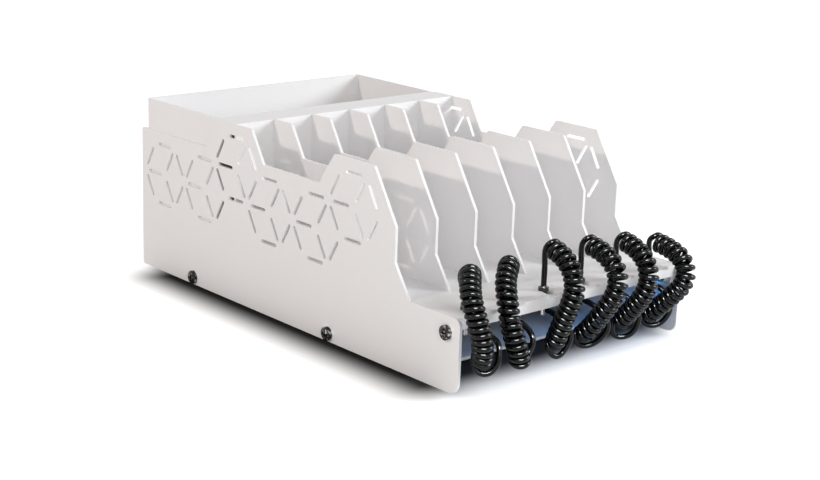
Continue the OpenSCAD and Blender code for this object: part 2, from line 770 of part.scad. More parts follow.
module connector_tips() {
    r = tip_d / 2;
    color("silver") for (i = [1 : bay_count])
        translate([bay_x(i), dock_y, shelf_top - connector_len - tip_len]) difference() {
            rotate_extrude($fn = fine)
                polygon([[0, 0], [r - tip_edge, 0], [r, tip_edge], [r, tip_len], [0, tip_len]]);
            translate([0, 0, -cut]) cylinder(d = tip_bore, h = tip_len / 2 + cut, $fn = fine);
        }
}

module usb_plug(i) {
    color(charcoal) translate([bay_x(i), hub_front_y - plug_gap, port_z]) {
        translate([0, -plug_len, 0]) in_front_view(plug_len)
            polygon(rounded(box_points(plug_w, plug_h),
                            [plug_edge_r, plug_edge_r, plug_edge_r, plug_edge_r]));
        translate([0, -plug_len, 0]) rotate([90, 0, 0])
            cylinder(d1 = plug_relief_d, d2 = cord_d, h = plug_relief_len, $fn = fine);
    }
}

module usb_shells() {
    color("silver") for (i = [1 : bay_count])
        translate([bay_x(i), hub_front_y - plug_gap, port_z]) difference() {
            in_front_view(shell_len) square([shell_w, shell_h], center = true);
            translate([0, shell_t, 0]) in_front_view(shell_len)
                square([shell_w - 2 * shell_t, shell_h - 2 * shell_t], center = true);
        }
}

// Cords

function heading(p, i) =
    let (n = len(p) - 1)
    i == 0 ? unit(p[1] - p[0]) : i == n ? unit(p[n] - p[n - 1]) : unit(unit(p[i] - p[i - 1])
                                                                       + unit(p[i + 1] - p[i]));
// Sideways direction at each point, carried along so that the tube doesn't twist
function carried(p, i, side) =
    let (t = heading(p, i), s = unit(side - t * (side * t)))
    i == len(p) - 1 ? [s] : concat([s], carried(p, i + 1, s));

// One closed solid from rings of equal count, as triangles
module skin(rings) {
    n = len(rings[0]);
    m = len(rings);
    points = [for (ring = rings) each ring];
    sides = [for (i = [0 : m - 2], j = [0 : n - 1])
        let (a = i * n + j, b = i * n + (j + 1) % n)
        each [[a, b + n, b], [a, a + n, b + n]]];
    ends = [for (j = [1 : n - 2])
        each [[0, j, j + 1], [(m - 1) * n, (m - 1) * n + j + 1, (m - 1) * n + j]]];
    polyhedron(points, concat(sides, ends));
}

// A tube along the points p. With joined_before or joined_after, the point beyond that end only
// turns the end's face, so that it meets the next stretch flat.
module tube(p, d, sides, joined_before = false, joined_after = false) {
    start = abs(heading(p, 0).x) > cos(45) ? [0, 0, 1] : [1, 0, 0];
    across = carried(p, 0, start);
    skin([for (i = [(joined_before ? 1 : 0) : len(p) - (joined_after ? 2 : 1)])
        let (u = across[i], v = cross(heading(p, i), u))
        [for (k = [0 : sides - 1])
            p[i] + d / 2 * (u * cos(360 * k / sides) + v * sin(360 * k / sides))]]);
}

function placed(i, route) = [for (q = route) [bay_x(i), dock_y, shelf_top] + q];

// A point and a heading on the smooth curve through a route, at u from 0 to 1 by span count
function span_point(p, u) =
    let (
        n = len(p) - 1,
        k = min(floor(u * n), n - 1),
        t = u * n - k,
        a = k == 0 ? 2 * p[0] - p[1] : p[k - 1],
        b = p[k],
        c = p[k + 1],
        d = k == n - 1 ? 2 * p[n] - p[n - 1] : p[k + 2]
    )
    (2 * b + (c - a) * t + (2 * a - 5 * b + 4 * c - d) * t * t
     + (3 * b - 3 * c + d - a) * t * t * t) / 2;

function spread(values, i = 0, total = 0) =
    i == len(values) ? [total] : concat([total], spread(values, i + 1, total + values[i]));

coil_samples = 96;
curl_rings = 8;
coil_sides = 6;
wind_r = (coil_d - cord_d) / 2;

// The coil's axis as evenly numbered samples, with the length run at each
function axis_points(p) = [for (k = [0 : coil_samples]) span_point(p, k / coil_samples)];
function axis_runs(q) = spread([for (k = [0 : coil_samples - 1]) norm(q[k + 1] - q[k])]);
function at_run(q, runs, s, k = 0) =
    k == coil_samples - 1 || runs[k + 1] >= s
        ? q[k] + (q[k + 1] - q[k]) * (s - runs[k]) / (runs[k + 1] - runs[k])
        : at_run(q, runs, s, k + 1);

// Centre points of a coil's cord
function wound(i) =
    let (
        q = axis_points(placed(i, coil_routes[i - 1])),
        runs = axis_runs(q),
        total = runs[coil_samples],
        near = total / coil_samples,
        turned = 360 * curls + coil_start - coil_ends[i - 1],
        rings = round(curl_rings * turned / 360)
    )
    [for (k = [0 : rings])
        let (
            s = total * k / rings,
            t = unit(at_run(q, runs, min(total, s + near)) - at_run(q, runs, max(0, s - near))),
            n1 = unit(cross([1, 0, 0], t)),
            n2 = cross(t, n1),
            a = coil_start - turned * k / rings
        )
        at_run(q, runs, s) + wind_r * (n1 * cos(a) + n2 * sin(a))];

// Least distance between parts of one coil that lie most of a curl apart
function least_gap(w) =
    min([for (a = [0 : len(w) - 1], b = [a + 6 : 1 : len(w) - 1]) norm(w[a] - w[b])]) - cord_d;

module cord_lead(i) {
    w = wound(i);
    color(charcoal)
        tube(concat(placed(i, lead_routes[i - 1]), [w[0], w[1]]), cord_d, 8, joined_after = true);
}

module cord_coil(i) {
    w = wound(i);
    lead = placed(i, lead_routes[i - 1]);
    tail = placed(i, tail_routes[i - 1]);
    color(charcoal)
        tube(concat([lead[len(lead) - 1]], w, [tail[0]]), cord_d, coil_sides, true, true);
    echo(coil = i, least_gap_to_itself = least_gap(w));
}

module cord_tail(i) {
    w = wound(i);
    before = [w[len(w) - 2], w[len(w) - 1]];
    color(charcoal)
        tube(concat(before, placed(i, tail_routes[i - 1])), cord_d, 8, joined_before = true);
}

// Power pieces

module power_supply() {
    rib_from = -(supply_ribs - 1) / 2 * supply_rib_pitch;
    color([0.16, 0.16, 0.17]) translate([0, supply_front_y + supply_depth / 2, pan_top])
        difference() {
            round_plate(supply_w, supply_depth, supply_h, supply_edge_r);
            for (k = [0 : supply_ribs - 1])
                translate([rib_from + k * supply_rib_pitch - supply_rib_w / 2,
                           -supply_depth / 4, supply_h - supply_rib_w])
                    cube([supply_rib_w, supply_depth / 2, supply_rib_w + cut]);
        }
}

module dc_lead() { color(charcoal) tube(dc_route, dc_d, 8); }
module mains_wires() { color("white") for (route = mains_routes) tube(route, wire_d, 8); }

module mains_inlet() {
    face_y = box_rear_y + inlet_flange_t;
    radii = [inlet_edge_r, inlet_edge_r, inlet_edge_r, inlet_edge_r];
    color(charcoal) translate([inlet_x, 0, panel_mid_z]) difference() {
        union() {
            translate([0, box_rear_y, 0]) in_front_view(inlet_flange_t)
                polygon(rounded(box_points(inlet_w, inlet_h), radii));
            translate([0, inlet_front_y, 0]) in_front_view(inlet_body_len)
                square([inlet_body_w, inlet_body_h], center = true);
        }
        translate([0, face_y - inlet_recess_depth, 0]) in_front_view(inlet_recess_depth + cut)
            polygon(rounded(box_points(inlet_recess_w, inlet_recess_h), radii));
    }
}

module inlet_pins() {
    from_y = box_rear_y + inlet_flange_t - inlet_recess_depth;
    places = [[-pin_spread, -pin_drop], [0, pin_lift], [pin_spread, -pin_drop]];
    color("silver") for (p = places)
        translate([inlet_x + p.x, from_y, panel_mid_z + p.y]) in_front_view(pin_len)
            square([pin_w, pin_h], center = true);
}

pivot_y = box_rear_y + bezel_t - pivot_depth - rocker_dip;

module switch_housing() {
    mouth_h = 2 * (rocker_r + rocker_gap);
    mouth_w = rocker_w + 2 * rocker_gap;
    mouth_from = pivot_y - rocker_floor;
    color(charcoal) difference() {
        translate([switch_x, 0, panel_mid_z]) {
            translate([0, box_rear_y, 0]) in_front_view(bezel_t)
                square([switch_w, switch_h], center = true);
            translate([0, inlet_front_y, 0]) in_front_view(inlet_body_len)
                square([switch_body_w, switch_body_h], center = true);
        }
        translate([switch_x, mouth_from, panel_mid_z])
            in_front_view(box_rear_y + bezel_t - mouth_from + cut)
                square([mouth_w, mouth_h], center = true);
        translate([switch_x, pivot_y, panel_mid_z]) rotate([0, 90, 0])
            cylinder(d = pivot_d + 2 * pivot_clearance,
                     h = rocker_w + 2 * pivot_len + 2 * pivot_clearance, center = true,
                     $fn = fine);
    }
}

// The rocker's side view: a round barrel with a shallow V for the finger, turned to its off side
module rocker_outline() {
    rise = rocker_r * tan(rocker_tilt);
    difference() {
        circle(r = rocker_r, $fn = fine);
        translate([-rocker_r - cut, -rocker_r - cut])
            square([rocker_r + cut - rocker_back, 2 * rocker_r + 2 * cut]);
        polygon([[rocker_dip, 0], [rocker_dip + rise, rocker_r], [rocker_r + rise, rocker_r],
                 [rocker_r + rise, -rocker_r], [rocker_dip + rise, -rocker_r]]);
    }
}

module switch_rocker() {
    color([0.6, 0.05, 0.04]) translate([switch_x, pivot_y, panel_mid_z])
        rotate([-rocker_tilt, 0, 0]) {
            in_side_view(rocker_w) rocker_outline();
            rotate([0, 90, 0])
                cylinder(d = pivot_d, h = rocker_w + 2 * pivot_len, center = true, $fn = fine);
        }
}

left_side_panel();
right_side_panel();
for (i = [1 : divider_count]) divider(i);
device_shelf();
front_rail();
cable_duct();
storage_box();
base_pan();
panel_screws();
feet();
hub_case();
hub_board();
hub_ports();
port_inserts();
hub_nuts();
status_lights();
for (i = [1 : bay_count])
    charge_connector(i);
connector_tips();
for (i = [1 : bay_count]) usb_plug(i);
usb_shells();
for (i = [1 : bay_count]) cord_lead(i);
for (i = [1 : bay_count]) cord_coil(i);
for (i = [1 : bay_count]) cord_tail(i);
power_supply();
dc_lead();
mains_wires();
mains_inlet();
inlet_pins();
switch_housing();
switch_rocker();
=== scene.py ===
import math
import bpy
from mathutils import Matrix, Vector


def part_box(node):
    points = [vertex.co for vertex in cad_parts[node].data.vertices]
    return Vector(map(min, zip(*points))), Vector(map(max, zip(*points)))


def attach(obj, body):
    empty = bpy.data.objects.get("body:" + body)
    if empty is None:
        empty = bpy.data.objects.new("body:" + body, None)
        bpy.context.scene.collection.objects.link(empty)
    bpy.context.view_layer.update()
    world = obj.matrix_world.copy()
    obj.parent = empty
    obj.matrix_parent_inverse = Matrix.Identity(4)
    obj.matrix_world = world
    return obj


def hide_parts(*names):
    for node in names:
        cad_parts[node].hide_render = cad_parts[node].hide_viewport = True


bl_info = {
    "name": "Charging Station Organizer",
    "version": (1, 0, 0),
    "blender": (4, 5, 0),
    "location": "View3D > Sidebar > Organizer",
    "description": "Cords, finishes, floor and light for a charging station organizer",
    "category": "Object",
}

import bmesh
import bpy
from mathutils import Matrix, Vector

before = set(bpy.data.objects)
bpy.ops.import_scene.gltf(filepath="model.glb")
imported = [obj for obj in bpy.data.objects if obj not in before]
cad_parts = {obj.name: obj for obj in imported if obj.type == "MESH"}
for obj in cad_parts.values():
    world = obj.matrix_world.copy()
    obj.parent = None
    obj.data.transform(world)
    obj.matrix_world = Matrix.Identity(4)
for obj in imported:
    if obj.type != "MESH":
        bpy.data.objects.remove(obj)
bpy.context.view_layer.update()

MM = 0.001
BODY = "housing"
BAYS = 6
DIVIDERS = 5


# Sizes and colours that a user may change


def length_prop(name, text, default, low=0.0, high=10.0):
    return bpy.props.FloatProperty(
        name=name, description=text, default=default, min=low, max=high,
        subtype="DISTANCE", unit="LENGTH",
    )


def angle_prop(name, text, degrees):
    return bpy.props.FloatProperty(
        name=name, description=text, default=math.radians(degrees),
        subtype="ANGLE", unit="ROTATION",
    )


def amount_prop(name, text, default, low=0.0, high=100.0):
    return bpy.props.FloatProperty(
        name=name, description=text, default=default, min=low, max=high,
    )


def colour_prop(name, text, default):
    return bpy.props.FloatVectorProperty(
        name=name, description=text, default=default, size=3, min=0.0, max=1.0,
        subtype="COLOR",
    )


class CameraSettings(bpy.types.PropertyGroup):
    place: bpy.props.FloatVectorProperty(
        name="Place", description="Where the camera stands", default=(-0.7323, -0.8303, 0.3515),
        size=3, subtype="TRANSLATION", unit="LENGTH",
    )
    yaw: angle_prop("Yaw", "Turn to the right of straight on", 41.82)
    pitch: angle_prop("Pitch", "Tilt below level", 15.51)
    roll: angle_prop("Roll", "Turn about the line of sight", 1.98)
    focal_px: amount_prop("Focal length", "Focal length in pixels of the frame", 1638.3, 100, 9000)
    frame_px: amount_prop("Frame width", "Width of the frame in pixels", 820, 100, 9000)


class CordSettings(bpy.types.PropertyGroup):
    diameter: length_prop("Cord diameter", "Diameter of the charging cords", 3.7 * MM)
    coil_diameter: length_prop("Coil diameter", "Outer diameter of a coil", 13.6 * MM)
    curls: bpy.props.IntProperty(
        name="Curls", description="Whole curls in each coil", default=16, min=8, max=24
    )
    curl_points: bpy.props.IntProperty(
        name="Points per curl", description="Points along each curl", default=12, min=12, max=48
    )
    colour: colour_prop("Cord colour", "Colour of the cords' jackets", (0.0015, 0.0015, 0.0018))


class FinishSettings(bpy.types.PropertyGroup):
    sheet: colour_prop("Sheet colour", "Powder coat of the sheet metal", (0.92, 0.90, 0.896))
    chrome: colour_prop("Screw colour", "Dark chrome of the panel screws", (0.50, 0.48, 0.46))
    plastic: colour_prop(
        "Black plastic", "Moulded plastic of connectors and plugs", (0.014, 0.014, 0.015)
    )
    blue: colour_prop("Light colour", "Colour of the status lights", (0.03, 0.30, 0.90))


class StageSettings(bpy.types.PropertyGroup):
    floor_size: length_prop("Floor size", "Side of the square floor", 12.0, 1.0, 50.0)
    sky: amount_prop("Sky", "Strength of the even light all round", 0.44)
    paper: amount_prop("Floor", "How pale the floor is, away from the object", 0.9, 0.0, 1.0)
    # The floor's painted contact shadow: how dark its colour is beside the object, how far inside
    # the sides and front the darkening starts, and over what way it fades
    contact: amount_prop("Contact", "How pale the floor is, beside the object", 0.05, 0.0, 1.0)
    side_inset: length_prop(
        "Side inset", "How far inside the sides the floor begins to pale", 2 * MM, 0.0, 0.1
    )
    front_inset: length_prop(
        "Front inset", "How far inside the front the floor begins to pale", 33 * MM, 0.0, 0.1
    )
    fade: length_prop("Fade", "Over what way the floor pales", 40 * MM, 10 * MM, 1.0)
    lift: amount_prop("Lift", "Light that the camera alone sees on the floor", 0.55)
    far: length_prop("Far", "How far from the object the far floor lies", 1.6, 0.1, 10.0)
    far_lift: amount_prop("Far lift", "More of that light, on the far floor", 0.12)


# Shader nodes

# A colour Mix node's two inputs and its output, by number, since their names repeat
MIX_FIRST, MIX_SECOND, MIX_RESULT = 6, 7, 2


class Level:
    """A number socket that can stand in ordinary expressions."""

    def __init__(self, graph, socket):
        self.graph = graph
        self.socket = socket

    def combined(self, operation, first, second=0.0):
        node = self.graph.node("ShaderNodeMath", {"operation": operation}, {0: first, 1: second})
        return Level(self.graph, node.outputs[0])

    def __add__(self, other):
        return self.combined("ADD", self, other)

    __radd__ = __add__

    def __mul__(self, other):
        return self.combined("MULTIPLY", self, other)

    __rmul__ = __mul__

    def __sub__(self, other):
        return self.combined("SUBTRACT", self, other)

    def __rsub__(self, other):
        return self.combined("SUBTRACT", other, self)

    def __truediv__(self, other):
        return self.combined("DIVIDE", self, other)

    def __rtruediv__(self, other):
        return self.combined("DIVIDE", other, self)

    def __pow__(self, other):
        return self.combined("POWER", self, other)

    def __rpow__(self, other):
        return self.combined("POWER", other, self)

    def __abs__(self):
        return self.combined("ABSOLUTE", self)

    def at_least(self, other):
        return self.combined("MAXIMUM", self, other)

    def at_most(self, other):
        return self.combined("MINIMUM", self, other)

    def eased(self):
        held = self.at_least(0.0).at_most(1.0)
        return held * held * (3.0 - 2.0 * held)


class Graph:
    """The nodes of one material or world."""

    def __init__(self, owner):
        owner.use_nodes = True
        self.tree = owner.node_tree
        self.tree.nodes.clear()

    def node(self, kind, settings=None, inputs=None):
        node = self.tree.nodes.new(kind)
        for key, value in (settings or {}).items():
            setattr(node, key, value)
        for label, value in (inputs or {}).items():
            self.feed(node.inputs[label], value)
        return node

    def feed(self, slot, value):
        if isinstance(value, Level):
            self.tree.links.new(value.socket, slot)
        elif isinstance(value, bpy.types.NodeSocket):
            self.tree.links.new(value, slot)
        else:
            slot.default_value = value

    def place(self):
        return self.node("ShaderNodeTexCoord").outputs["Object"]

    def seen(self):
        """1 where the camera looks, straight or by way of metal or glass, and else 0."""
        rays = self.node("ShaderNodeLightPath")
        straight, metal, glass = (
            Level(self, rays.outputs[f"Is {kind} Ray"])
            for kind in ("Camera", "Glossy", "Transmission")
        )
        return (straight + metal + glass).at_most(1.0)


class Finish(Graph):
    """One material, built from nodes onto a Principled shader."""

    def __init__(self, name, **constants):
        self.material = bpy.data.materials.new(name)
        super().__init__(self.material)
        inputs = {label.replace("_", " "): value for label, value in constants.items()}
        self.shader = self.node("ShaderNodeBsdfPrincipled", None, inputs)
        self.node("ShaderNodeOutputMaterial", None, {"Surface": self.shader.outputs[0]})

    def stretched(self, scale):
        node = self.node("ShaderNodeMapping", None, {"Vector": self.place(), "Scale": scale})
        return node.outputs[0]

    def noise(self, scale, detail=3.0, roughness=0.5):
        node = self.node(
            "ShaderNodeTexNoise", None,
            {"Vector": self.place(), "Scale": scale, "Detail": detail, "Roughness": roughness},
        )
        return Level(self, node.outputs[0])

    def cells(self, scale, vector):
        node = self.node("ShaderNodeTexVoronoi", None, {"Vector": vector, "Scale": scale})
        return Level(self, node.outputs["Distance"])

    def blend(self, factor, first, second):
        node = self.node(
            "ShaderNodeMix", {"data_type": "RGBA"},
            {"Factor": factor, MIX_FIRST: (*first, 1), MIX_SECOND: (*second, 1)},
        )
        return node.outputs[MIX_RESULT]

    def grey(self, level):
        parts = dict.fromkeys(("Red", "Green", "Blue"), level)
        return self.node("ShaderNodeCombineColor", None, parts).outputs[0]

    def colour(self, socket):
        self.feed(self.shader.inputs["Base Color"], socket)

    def roughness(self, level):
        self.feed(self.shader.inputs["Roughness"], level)

    def bump(self, height, strength, distance):
        node = self.node(
            "ShaderNodeBump", None, {"Height": height, "Strength": strength, "Distance": distance}
        )
        self.feed(self.shader.inputs["Normal"], node.outputs[0])


# Finishes

# Colours of the small pieces, which the photograph shows little of or not at all
NICKEL = ((0.56, 0.56, 0.57), (0.72, 0.72, 0.73))
BOARD_GREEN = ((0.01, 0.10, 0.04), (0.03, 0.20, 0.09))
LENS_CENTRE = (0.35, 0.75, 1.0)
RUBBER = (0.02, 0.02, 0.02)
PORT_BLUE = (0.02, 0.12, 0.50)
SUPPLY_BLACK = (0.05, 0.05, 0.055)
SLEEVE_WHITE = (0.75, 0.75, 0.72)
ROCKER_RED = (0.42, 0.02, 0.015)


def scaled(colour, share):
    return tuple(c * share for c in colour)


def powder_coat():
    finish = Finish("powder_coat", Specular_IOR_Level=0.35)
    white = bpy.context.scene.organizer_finish.sheet
    clouds = finish.noise(14, detail=4, roughness=0.6)
    finish.colour(finish.blend(clouds, scaled(white, 0.97), tuple(white)))
    finish.roughness(0.42 + 0.10 * finish.noise(220, detail=2))
    peel = finish.noise(1400, detail=2, roughness=0.4) + 0.35 * finish.noise(420, detail=2)
    finish.bump(peel, strength=0.12, distance=0.2 * MM)
    return finish.material


def dark_chrome_painted_glints():
    finish = Finish("dark_chrome_painted_glints", Metallic=1.0)
    chrome = bpy.context.scene.organizer_finish.chrome
    # Painted glints: noise splits the chrome's colour into near-black and bright specks, which
    # stand in for highlights and dark reflections
    painted_glints = ((finish.noise(430, roughness=0.6) - 0.48) * 5.0).eased()
    finish.colour(finish.blend(painted_glints, scaled(chrome, 0.06), tuple(chrome)))
    finish.roughness(0.08 + 0.10 * finish.noise(1600))
    finish.bump(finish.noise(2600), strength=0.12, distance=0.1 * MM)
    return finish.material


def bright_nickel():
    finish = Finish("bright_nickel", Metallic=1.0)
    finish.colour(finish.blend(finish.noise(1200), *NICKEL))
    finish.roughness(0.16 + 0.16 * finish.noise(2100, detail=2))
    return finish.material


def cord_jacket():
    finish = Finish("cord_jacket", Specular_IOR_Level=0.22)
    black = bpy.context.scene.organizer_cords.colour
    dust = finish.noise(500, detail=4, roughness=0.65) ** 3.0
    finish.colour(finish.blend(dust, tuple(black), scaled(black, 2.5)))
    finish.roughness(0.10 + 0.10 * finish.noise(800, roughness=0.6))
    finish.bump(finish.noise(3500, detail=2), strength=0.05, distance=0.1 * MM)
    return finish.material


def moulded(name, colour, base_roughness=0.32, grain=0.12, grain_scale=2200):
    finish = Finish(name, Specular_IOR_Level=0.5)
    finish.colour(finish.blend(finish.noise(260), scaled(colour, 0.86), tuple(colour)))
    finish.roughness(base_roughness + 0.14 * finish.noise(700))
    finish.bump(finish.noise(grain_scale, detail=2), strength=grain, distance=0.2 * MM)
    return finish.material


def circuit_board():
    finish = Finish("circuit_board", Specular_IOR_Level=0.5)
    tracks = finish.cells(260, finish.stretched((1, 3, 1)))
    finish.colour(finish.blend(tracks, *BOARD_GREEN))
    finish.roughness(0.35 + 0.2 * finish.noise(500))
    finish.bump(tracks, strength=0.2, distance=0.1 * MM)
    return finish.material


def lit_lens():
    finish = Finish("lit_lens", Roughness=0.15, Emission_Strength=6.0)
    blue = bpy.context.scene.organizer_finish.blue
    glow = finish.blend(finish.noise(900, detail=2), tuple(blue), LENS_CENTRE)
    finish.colour(glow)
    finish.feed(finish.shader.inputs["Emission Color"], glow)
    return finish.material


def dress(material, *names):
    for name in names:
        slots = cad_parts[name].data.materials
        slots.clear()
        slots.append(material)


def numbered(pattern, count):
    return [pattern.format(i) for i in range(1, count + 1)]


# Cords

# Routes, in millimetres from each connector's axis at the shelf's top
LEAD_ROUTES = [
    [(0, 0, 3), (0, 0, 8), (-0.8, 1.6, 13), (-3.2, 2.8, 18.5), (-5.4, 1.2, 24)],
    [(0, 0, 3), (0, 0, 8), (-0.6, 1.6, 13), (-2.8, 3, 18), (-4.9, 2, 23.5)],
    [(0, 0, 3), (0, 0, 11), (0, 0, 18), (-1.2, -0.4, 24), (-3.2, -2.4, 29)],
    [(0, 0, 3), (0, 0, 10), (0, 0, 16), (-1.2, -0.4, 21.5), (-3.2, -2.4, 26.5)],
    [(0, 0, 3), (0, 0, 9), (0, 0, 14), (-1.2, -0.4, 19), (-3.2, -2.4, 23.5)],
    [(0, 0, 3), (0, 0, 7), (-0.5, 0, 11), (-1.8, -0.4, 15), (-3.4, -2, 18.6)],
]
COIL_ROUTES = [
    [(-1.5, -4, 24), (-5, -8, 22), (-9, -12.5, 18), (-12, -17, 12.5), (-12.6, -21, 5.5),
     (-11.6, -23.5, -2), (-9.8, -24.8, -10), (-7.9, -24.3, -17.8), (-6.3, -22, -24.5),
     (-5.6, -20.4, -27.6)],
    [(-1.5, -3, 23.5), (-5.5, -6.5, 21.8), (-11, -10.5, 17), (-15.5, -16, 10.5),
     (-17.5, -20, 3.5), (-17.5, -22.5, -4.5), (-16.3, -24.3, -12.5), (-14, -25.3, -20),
     (-11, -25, -27.5), (-9, -24.2, -32)],
    [(0, -5, 28.6), (0, -11, 27), (0, -17.8, 23.3), (0, -22.9, 17.9), (0, -25.7, 10.8),
     (0, -25.6, 3), (0, -22.8, -4.8), (0, -19.6, -12.3), (0, -16.5, -20), (0, -13.5, -27.5),
     (0, -11.3, -32.5)],
    [(0, -5, 26), (0, -11.5, 24.8), (0, -19.5, 22.5), (0, -26.6, 17.9), (0, -31, 11.2),
     (0, -31.5, 3.4), (0, -28.2, -4.6), (0, -23.2, -12.2), (0, -18, -19.5), (0, -12.5, -26.5),
     (0, -7.2, -32.5), (0, -3.5, -35.8)],
    [(0, -5, 22.8), (0, -11, 21.7), (0, -18, 19), (0, -23.8, 14.6), (0, -27.6, 8.3),
     (0, -28.6, 0.8), (0, -26.5, -6.3), (0, -22.2, -13.3), (0, -16.5, -20.5), (0, -10.3, -27.8),
     (0, -5.5, -33.2)],
    [(0, -4.5, 16.8), (0, -11, 16), (0, -18.2, 14.4), (0, -24.8, 11.8), (0, -29.5, 7.5),
     (0, -31.6, 1.5), (0, -30.5, -4.9), (0, -26.8, -10.6), (0, -21.4, -16.4), (0, -15.6, -22.4),
     (0, -9.8, -28), (0, -4.2, -33.2), (0, -1, -36)],
]
TAIL_ROUTES = [
    [(-9.2, -21.6, -32.2), (-5.6, -24.9, -33.4), (-1.3, -26.9, -31), (2, -27.5, -26.3),
     (3.5, -26.6, -20.8), (4.8, -24.5, -17), (5.5, -20, -14.3), (5.8, -14.5, -13.2),
     (5.5, -8.5, -13), (5, -2.5, -12.8), (3, 4, -12.3), (0, 10, -12), (0, 15, -12)],
    [(-1.8, -22.6, -29.4), (0.5, -22.5, -27), (2.2, -22.7, -23.8), (3.2, -21.9, -20),
     (3.8, -19, -16.8), (4.3, -14.5, -14.6), (4.8, -9.3, -13.3), (4.6, -3.5, -12.8),
     (3, 3, -12.4), (0, 9.5, -12), (0, 15, -12)],
    [(-3.8, -11.5, -37.3), (-0.5, -13, -40.3), (3.2, -13.4, -40.4), (6.4, -13.6, -38.6),
     (8.6, -14.8, -35), (9.6, -16.4, -30.2), (9.6, -16.2, -25.6), (9, -14, -21.4),
     (7.8, -9.8, -18), (6, -5, -15.5), (4, 1.5, -13.5), (0, 9, -12), (0, 15, -12)],
    [(-4, -3.4, -40.4), (-0.5, -6, -42), (3.8, -8.4, -41.6), (7.3, -11.2, -39),
     (9.5, -14.5, -34.6), (10.6, -16.8, -29.4), (10.6, -16.2, -24.6), (9.8, -13.6, -20.4),
     (8, -9.3, -17), (6, -4, -14.5), (4, 2.5, -13), (0, 9.5, -12), (0, 15, -12)],
    [(-4.6, -3.8, -38.4), (-2, -5.4, -42), (2, -9, -42.3), (5.8, -12.2, -39.8),
     (8.3, -14.4, -35), (9.5, -14.9, -29), (9.5, -13.6, -24.2), (8.9, -11, -20.4),
     (7.6, -6.8, -17.3), (5.8, -2, -14.8), (3.5, 4, -12.9), (0, 9.5, -12), (0, 15, -12)],
    [(-3.8, -2, -39.6), (-0.2, -5.2, -41.6), (3.8, -7.9, -41), (7.3, -10.1, -38),
     (9.4, -12.4, -32.8), (10, -13, -27.6), (9.4, -11.8, -23), (8.4, -8.6, -19), (7, -4, -16),
     (5, 1.5, -13.8), (2.5, 6, -12.4), (0, 10, -12), (0, 15, -12)],
]
# Where on its turn each coil begins and ends, in degrees from the inner side of its bend
COIL_START = 225
COIL_ENDS = [-90, 90, -90, -90, -90, -90]
# Samples from one point to the next, along a coil's route and along the wound cord
ROUTE_STEPS = 16
POINT_STEPS = 4
# Samples on each side of a coil's end over which its bend is eased
EASED_REACH = 15
# How finely a cord's section is rounded
CORD_ROUNDNESS = 5


def through(points, steps):
    """Samples of a smooth Catmull-Rom curve, so many from one point to the next."""
    ends = [2 * points[0] - points[1], *points, 2 * points[-1] - points[-2]]
    samples = []
    for k in range(1, len(ends) - 2):
        a, b, c, d = ends[k - 1:k + 3]
        for j in range(steps):
            t = j / steps
            line = 2 * b + (c - a) * t
            square = (2 * a - 5 * b + 4 * c - d) * t * t
            samples.append((line + square + (3 * b - 3 * c + d - a) * t ** 3) / 2)
    samples.append(points[-1])
    return samples


def runs(samples):
    """The length of the curve up to each of its samples."""
    total = [0.0]
    for a, b in zip(samples, samples[1:]):
        total.append(total[-1] + (b - a).length)
    return total


def at_run(samples, total, s):
    """The place on the curve at the length s from its start."""
    s = max(0.0, min(total[-1], s))
    k = next(i for i in range(len(total) - 1) if total[i + 1] >= s or i == len(total) - 2)
    share = (s - total[k]) / (total[k + 1] - total[k])
    return samples[k].lerp(samples[k + 1], share)


def wound(route, start, end, settings):
    """Points along the cord of one coil, which turns about its route."""
    samples = through(route, ROUTE_STEPS)
    total = runs(samples)
    near = total[-1] / len(samples)
    radius = (settings.coil_diameter - settings.diameter) / 2
    turned = 360 * settings.curls + start - end
    count = round(settings.curl_points * turned / 360)
    points = []
    for k in range(count + 1):
        s = total[-1] * k / count
        ahead = (at_run(samples, total, s + near) - at_run(samples, total, s - near)).normalized()
        first = Vector((1, 0, 0)).cross(ahead).normalized()
        angle = math.radians(start - turned * k / count)
        out = first * math.cos(angle) + ahead.cross(first) * math.sin(angle)
        points.append(at_run(samples, total, s) + radius * out)
    return points


def ease_bend(path, join):
    """Eases the bend where the coil meets the lead or the tail, most at the join itself."""
    for span in range(EASED_REACH, 1, -1):
        for k in range(join - span, join + span + 1):
            path[k] = (path[k - 1] + 2 * path[k] + path[k + 1]) / 4


def cord_path(index, settings):
    """The cord's centre from its plug in the hub to its connector."""
    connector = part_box(f"charge_connector_{index + 1}")
    middle = (connector[0] + connector[1]) / 2
    dock = Vector((middle.x, middle.y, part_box("device_shelf")[1].z))
    lead, coil, tail = (
        [dock + Vector(point) * MM for point in routes[index]]
        for routes in (LEAD_ROUTES, COIL_ROUTES, TAIL_ROUTES)
    )
    curls = wound(coil, COIL_START, COIL_ENDS[index], settings)
    path = through((lead + curls + tail)[::-1], POINT_STEPS)
    for join in (len(tail), len(tail) + len(curls)):
        ease_bend(path, join * POINT_STEPS)
    return path


def curve_piece(name, path, diameter, material):
    data = bpy.data.curves.new(name, "CURVE")
    data.dimensions = "3D"
    data.bevel_depth = diameter / 2
    data.bevel_resolution = CORD_ROUNDNESS
    data.use_fill_caps = True
    spline = data.splines.new("POLY")
    spline.points.add(len(path) - 1)
    for point, place in zip(spline.points, path):
        point.co = (*place, 1)
    data.materials.append(material)
    piece = bpy.data.objects.new(name, data)
    bpy.context.scene.collection.objects.link(piece)
    return piece


# Camera, pieces and finishes


